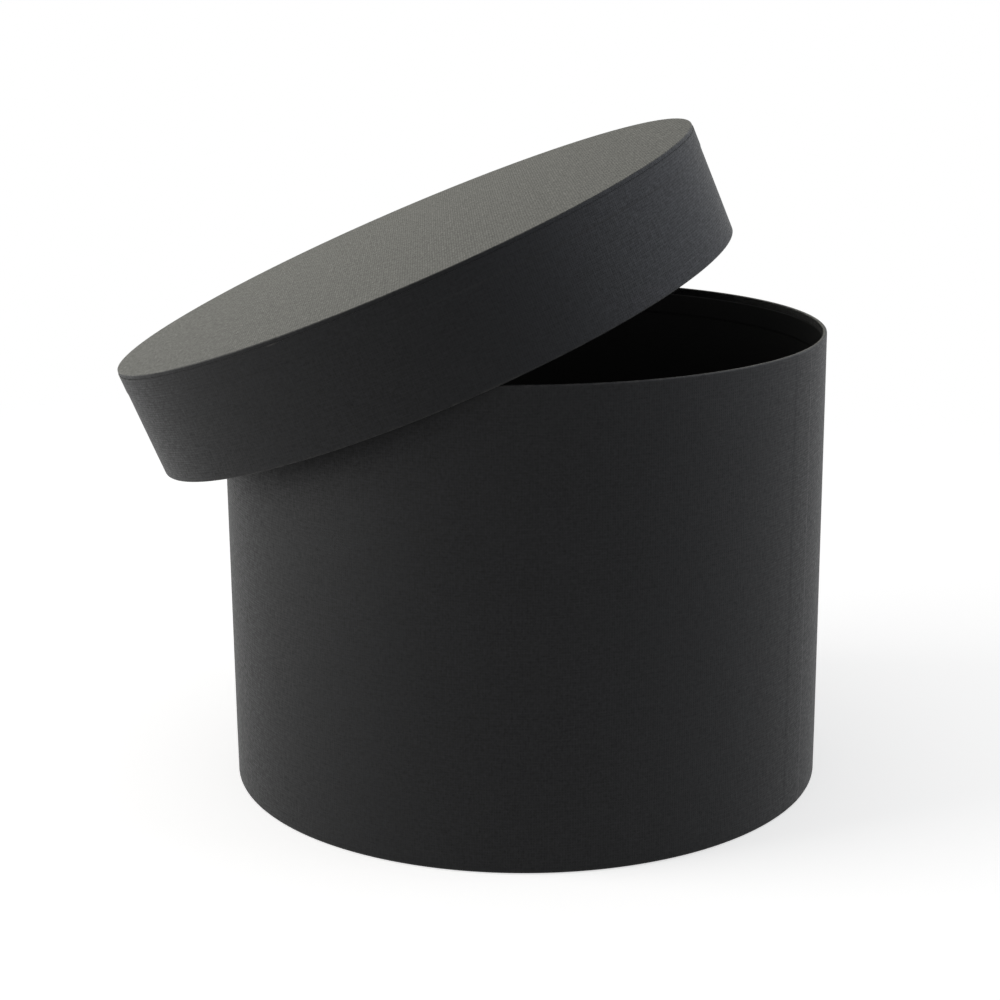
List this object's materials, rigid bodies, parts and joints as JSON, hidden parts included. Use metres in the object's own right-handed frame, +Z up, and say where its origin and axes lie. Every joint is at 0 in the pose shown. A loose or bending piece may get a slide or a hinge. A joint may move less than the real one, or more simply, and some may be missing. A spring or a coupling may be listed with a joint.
{
  "type": "hat box",
  "caption": "Round rigid hat box of rolled board covered in black embossed paper, with a shallow lift-off lid that stands tilted on the body's rim.",
  "frame": {"origin": "on the body's axis, at the base's underside, where the box stands on the table", "axes": "+Z up along the body's axis, out of its mouth; the tilted lid's low side is towards -X and its raised side towards +X; -Y is the side that faces the viewer"},
  "size_m": [0.3794, 0.3304, 0.3546],
  "materials": {
    "covering_paper": "matte",
    "lining_paper": "matte",
    "greyboard": "matte",
    "joint_tape": "matte"
  },
  "bodies": {
    "box": {"body_board": "greyboard", "body_joint_tape": "joint_tape", "base_board": "greyboard", "body_wrap": "covering_paper", "base_cover": "covering_paper", "body_lining": "lining_paper", "base_lining": "lining_paper"},
    "lid": {"lid_board": "greyboard", "lid_rim_board": "greyboard", "lid_joint_tape": "joint_tape", "lid_top_cover": "covering_paper", "lid_rim_wrap": "covering_paper", "lid_top_lining": "lining_paper", "lid_rim_lining": "lining_paper"}
  },
  "joints": [
    {"name": "lid_lift", "type": "slide", "parent": "box", "child": "lid", "axis": [0, 0, 1], "range_m": [0, 0.11]}
  ]
}
